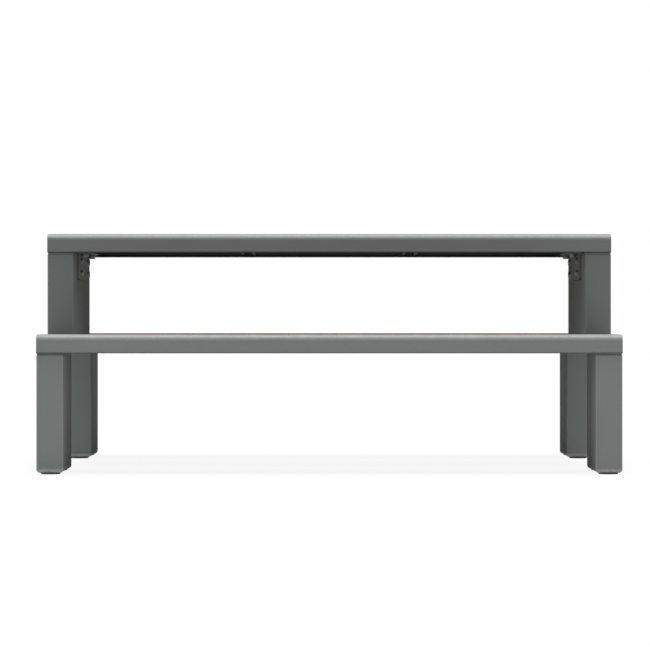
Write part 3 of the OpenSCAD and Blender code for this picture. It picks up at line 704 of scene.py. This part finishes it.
# The rings of a log lie around a heart below the board, at its own place for each board.
heart = times(tree, calc(tree, "FRACT", times(tree, plank, HEART_STEP)), HEART_SPREAD)
wander = times(tree, spots(tree, place, *LOG_WANDER), LOG_WANDER_SHARE)
across = calc(tree, "ADD", calc(tree, "MODULO", axis(tree, place, "Y"), LOG_REPEAT), wander)
across = calc(tree, "SUBTRACT", across, heart)
depth = calc(tree, "ADD", times(tree, spots(tree, place, *LOG_DEPTH), LOG_DEPTH_SHARE), LOG_DEPTH_LEAST)
log_r = calc(tree, "SQRT", calc(tree, "ADD", times(tree, across, across), times(tree, depth, depth)))
rings = add(tree, "ShaderNodeTexNoise", {
    "W": times(tree, log_r, RINGS), "Scale": 1.0, "Detail": RING_DETAIL, "Roughness": RING_ROUGH},
    noise_dimensions="1D").outputs["Fac"]
fibre = spots(tree, place, *FIBRES)
tone = times(tree, rings, RING_SHARE)
for pattern, share in ((spots(tree, place, *STREAKS), STREAK_SHARE), (fibre, FIBRE_SHARE),
                       (spots(tree, place, *WOOD_CLOUDS), CLOUD_SHARE)):
    tone = calc(tree, "ADD", tone, times(tree, pattern, share))
browns = add(tree, "ShaderNodeValToRGB", {"Fac": tone})
ramp = browns.color_ramp.elements
ramp[0].position, ramp[0].color = DARK_AT, DARK_BROWN
ramp[1].position, ramp[1].color = PALE_AT, PALE_BROWN
ramp.new(MIDDLE_AT).color = MIDDLE_BROWN
pores = patches(tree, place, *PORES)
colour = tint(tree, times(tree, pores, PORE_SHARE), browns.outputs[0], PORE_BROWN)
tree.links.new(sized(tree, colour, span(tree, board_tone, *BOARD_TONE)), shader.inputs["Base Color"])
gloss = calc(tree, "ADD", span(tree, fibre, *WOOD_GLOSS), times(tree, pores, PORE_DULLS))
tree.links.new(gloss, shader.inputs["Roughness"])
tree.links.new(glancing(tree, WOOD_SHEEN_BY_TURN), shader.inputs["Specular IOR Level"])
relief = calc(tree, "SUBTRACT", times(tree, fibre, RELIEF_FIBRE_SHARE), pores)
raised(tree, shader, relief, *WOOD_RELIEF)

SLAT_SOFT_R = 0.003
SLAT_STEPS = 12
SLAT_SMOOTH_TO = 60


def triple(tree, operation, a, b=None):
    """One sum of two vectors, or of one."""
    inputs = {0: a} if b is None else {0: a, 1: b}
    return add(tree, "ShaderNodeVectorMath", inputs, operation=operation).outputs[0]


def all_three(tree, number):
    """A vector with one number three times."""
    return add(tree, "ShaderNodeCombineXYZ", {letter: number for letter in "XYZ"}).outputs[0]


slat_tree, given, out = new_tree(
    "softened_slat", ("Low corner", "Vector"), ("High corner", "Vector"), ("Radius", "Float"),
    ("Steps", "Int"), ("Plank", "Float"), ("Material", "Material"))
cube = add(slat_tree, "GeometryNodeMeshCube", {
    "Size": (2, 2, 2), "Vertices X": given["Steps"], "Vertices Y": given["Steps"],
    "Vertices Z": given["Steps"]}).outputs[0]
half = sized(slat_tree, triple(slat_tree, "SUBTRACT", given["High corner"], given["Low corner"]), 0.5)
centre = sized(slat_tree, triple(slat_tree, "ADD", given["High corner"], given["Low corner"]), 0.5)
flat = triple(slat_tree, "SUBTRACT", half, all_three(slat_tree, given["Radius"]))

# The cube's points gather at the slat's corners and edges, and spread there over a ball of its radius.
at = add(slat_tree, "GeometryNodeInputPosition").outputs[0]
inner_row = calc(slat_tree, "DIVIDE", 1.0, calc(slat_tree, "SUBTRACT", given["Steps"], 1.0))
share = add(slat_tree, "ShaderNodeMapRange", {
    "Vector": triple(slat_tree, "ABSOLUTE", at), 7: all_three(slat_tree, inner_row), 8: (1, 1, 1),
    9: (0, 0, 0), 10: (1, 1, 1)}, data_type="FLOAT_VECTOR").outputs["Vector"]
side_of = triple(slat_tree, "SIGN", at)
over = triple(slat_tree, "NORMALIZE", triple(slat_tree, "MULTIPLY", share, side_of))
corner = triple(slat_tree, "MULTIPLY", flat, side_of)
spread = triple(slat_tree, "ADD", corner, sized(slat_tree, over, given["Radius"]))
moved = add(slat_tree, "GeometryNodeSetPosition", {
    "Geometry": cube, "Position": triple(slat_tree, "ADD", spread, centre)}).outputs[0]
marked = add(slat_tree, "GeometryNodeStoreNamedAttribute", {
    "Geometry": moved, "Name": "plank", "Value": given["Plank"]}, data_type="FLOAT", domain="POINT")
close_tree(slat_tree, marked.outputs[0], given["Material"], out)

slats = ["table_slat_%d" % i for i in range(1, 7)]
slats += ["%s_seat_slat_%d" % (side, i) for side in ("front", "rear") for i in (1, 2, 3)]
for number, name in enumerate(slats):
    low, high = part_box(name)
    piece = grown("hardwood_" + name, slat_tree, {
        "Low corner": tuple(low), "High corner": tuple(high), "Radius": SLAT_SOFT_R, "Steps": SLAT_STEPS,
        "Plank": number + 1.0, "Material": wood}, smooth_to=SLAT_SMOOTH_TO)
    dressed(piece, "frame", "hardwood", name)


# SLAT SCREWS
# Dark plated pan head screws, 5 mm, with a cross recess, two for each slat at each channel.
# They are driven up through the channels into the slats.
SCREW_R, SCREW_LEN = 0.0025, 0.022
SCREW_HEAD_R, SCREW_HEAD_H = 0.005, 0.003
SCREW_CROSS_W, SCREW_CROSS_L, SCREW_CROSS_DEPTH = 0.0011, 0.0052, 0.0016
SCREW_CROSS_STEP = 0.9
SCREW_SIDES, SCREW_HEAD_SIDES, SCREW_HEAD_RINGS = 8, 12, 6
SCREW_TURN_SEED = 11
SCREW_SPREAD = 0.028
TABLE_END_SCREW_X = 0.778
CHANNEL_T = 0.003

screw_tree, given, out = new_tree(
    "pan_head_screw", ("Shank radius", "Float"), ("Shank length", "Float"), ("Head radius", "Float"),
    ("Head height", "Float"), ("Cross width", "Float"), ("Cross length", "Float"), ("Cross depth", "Float"),
    ("Material", "Material"))
shank = rod(screw_tree, given["Shank radius"], 0.0, given["Shank length"], SCREW_SIDES)
ball = add(screw_tree, "GeometryNodeMeshUVSphere", {
    "Segments": SCREW_HEAD_SIDES, "Rings": SCREW_HEAD_RINGS, "Radius": 1.0}).outputs["Mesh"]
at = add(screw_tree, "GeometryNodeInputPosition").outputs[0]
low_half = calc(screw_tree, "MINIMUM", axis(screw_tree, at, "Z"), 0.0)
dome_at = add(screw_tree, "ShaderNodeCombineXYZ", {
    "X": times(screw_tree, axis(screw_tree, at, "X"), given["Head radius"]),
    "Y": times(screw_tree, axis(screw_tree, at, "Y"), given["Head radius"]),
    "Z": times(screw_tree, low_half, given["Head height"])}).outputs[0]
head = add(screw_tree, "GeometryNodeSetPosition", {"Geometry": ball, "Position": dome_at}).outputs[0]
face_z = times(screw_tree, given["Head height"], -1.0)
for length, width, share in (("Cross length", "Cross width", 1.0),
                             ("Cross width", "Cross length", SCREW_CROSS_STEP)):
    size = add(screw_tree, "ShaderNodeCombineXYZ", {
        "X": given[length], "Y": given[width], "Z": times(screw_tree, given["Cross depth"], 2.0 * share)})
    bar = add(screw_tree, "GeometryNodeMeshCube", {"Size": size.outputs[0]}).outputs[0]
    head = cut_out(screw_tree, head, moved_up(screw_tree, bar, face_z))
screw = joined(screw_tree, shank, head)
close_tree(screw_tree, set_along(screw_tree, given["Geometry"], screw, math.pi, SCREW_TURN_SEED),
           given["Material"], out)

table_screw_xs = (-TABLE_END_SCREW_X, -brace_x, brace_x, TABLE_END_SCREW_X)
places = []
for name in slats:
    low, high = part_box(name)
    on_table = name.startswith("table")
    z = (brace_high.z if on_table else bearers_high.z) - CHANNEL_T
    for x in (table_screw_xs if on_table else seat_channel_xs):
        for side in (-1, 1):
            places.append((x, (low.y + high.y) / 2 + side * SCREW_SPREAD, z))
piece = grown("pan_head_screws", screw_tree, {
    "Shank radius": SCREW_R, "Shank length": SCREW_LEN, "Head radius": SCREW_HEAD_R,
    "Head height": SCREW_HEAD_H, "Cross width": SCREW_CROSS_W, "Cross length": SCREW_CROSS_L,
    "Cross depth": SCREW_CROSS_DEPTH, "Material": dark_zinc}, places, aims=[(0, 0, 1)] * len(places))
dressed(piece, "frame", "plated_steel", "slat_screws")


# FLOOR, LIGHT AND CAMERA
# A plain pale floor with a white ground behind, under a wide soft light from above and a low,
# weaker one from each end. The camera looks level along the depth from far off.
CAMERA_PLACE = (-0.0135, -11.48, 0.459)
CAMERA_LENS = 192.3
CAMERA_REACH = 200
FLOOR_HALF = 40
FLOOR_PALE, FLOOR_ROUGHNESS = (0.86, 0.86, 0.86), 0.9
FLOOR_CLOUDS = (3, 2), (0.3, 0.7, 0.985, 1.0)
FLOOR_GLOW = 0.9
WHITE = (1, 1, 1, 1)
AMBIENT_STRENGTH, AMBIENT_TINT = 0.12, (0.97, 0.985, 1.0, 1)

camera_data = bpy.data.cameras.new("camera")
camera_data.lens = CAMERA_LENS
camera_data.clip_end = CAMERA_REACH
camera = bpy.data.objects.new("camera", camera_data)
camera.location = CAMERA_PLACE
camera.rotation_euler = (math.pi / 2, 0, 0)
bpy.context.scene.collection.objects.link(camera)
bpy.context.scene.camera = camera


def seen_directly(tree):
    """1 where a ray comes from the camera, or by way of gloss or glass."""
    path = add(tree, "ShaderNodeLightPath").outputs
    seen = calc(tree, "MAXIMUM", path["Is Camera Ray"], path["Is Glossy Ray"])
    return calc(tree, "MAXIMUM", seen, path["Is Transmission Ray"])


pale_floor, tree, shader, place = finish_named("pale_floor")
tree.links.new(sized(tree, FLOOR_PALE, patches(tree, place, *FLOOR_CLOUDS)), shader.inputs["Base Color"])
shader.inputs["Roughness"].default_value = FLOOR_ROUGHNESS
shader.inputs["Specular IOR Level"].default_value = 0.0
white = add(tree, "ShaderNodeEmission", {"Color": WHITE, "Strength": 1.0}).outputs[0]
mixed = add(tree, "ShaderNodeMixShader", {
    0: times(tree, seen_directly(tree), FLOOR_GLOW), 1: shader.outputs[0], 2: white}).outputs[0]
tree.links.new(mixed, tree.nodes["Material Output"].inputs["Surface"])
floor_mesh = bpy.data.meshes.new("floor")
corners = [(-FLOOR_HALF, -FLOOR_HALF, 0), (FLOOR_HALF, -FLOOR_HALF, 0),
           (FLOOR_HALF, FLOOR_HALF, 0), (-FLOOR_HALF, FLOOR_HALF, 0)]
floor_mesh.from_pydata(corners, [], [(0, 1, 2, 3)])
floor_mesh.materials.append(pale_floor)
floor = bpy.data.objects.new("floor", floor_mesh)
bpy.context.scene.collection.objects.link(floor)

world = bpy.data.worlds.new("studio")
world.use_nodes = True
bpy.context.scene.world = world
tree = world.node_tree
ambient = tree.nodes["Background"]
ambient.inputs["Color"].default_value = AMBIENT_TINT
ambient.inputs["Strength"].default_value = AMBIENT_STRENGTH
white = add(tree, "ShaderNodeBackground", {"Color": WHITE, "Strength": 1.0}).outputs[0]
mixed = add(tree, "ShaderNodeMixShader", {
    0: seen_directly(tree), 1: ambient.outputs[0], 2: white}).outputs[0]
tree.links.new(mixed, tree.nodes["World Output"].inputs["Surface"])

# Each lamp has a strength, a width, a tip from straight down and a turn about the upright.
LAMPS = (("overhead", 3.7, 40, 0, 0), ("from_left", 1.0, 30, 84, -78), ("from_right", 1.0, 30, 84, 78))
for name, strength, width, tip, turn in LAMPS:
    lamp_data = bpy.data.lights.new(name, "SUN")
    lamp_data.energy = strength
    lamp_data.angle = math.radians(width)
    lamp = bpy.data.objects.new(name, lamp_data)
    lamp.rotation_euler = (math.radians(tip), 0, math.radians(turn))
    bpy.context.scene.collection.objects.link(lamp)

bpy.context.scene.view_settings.view_transform = "Standard"
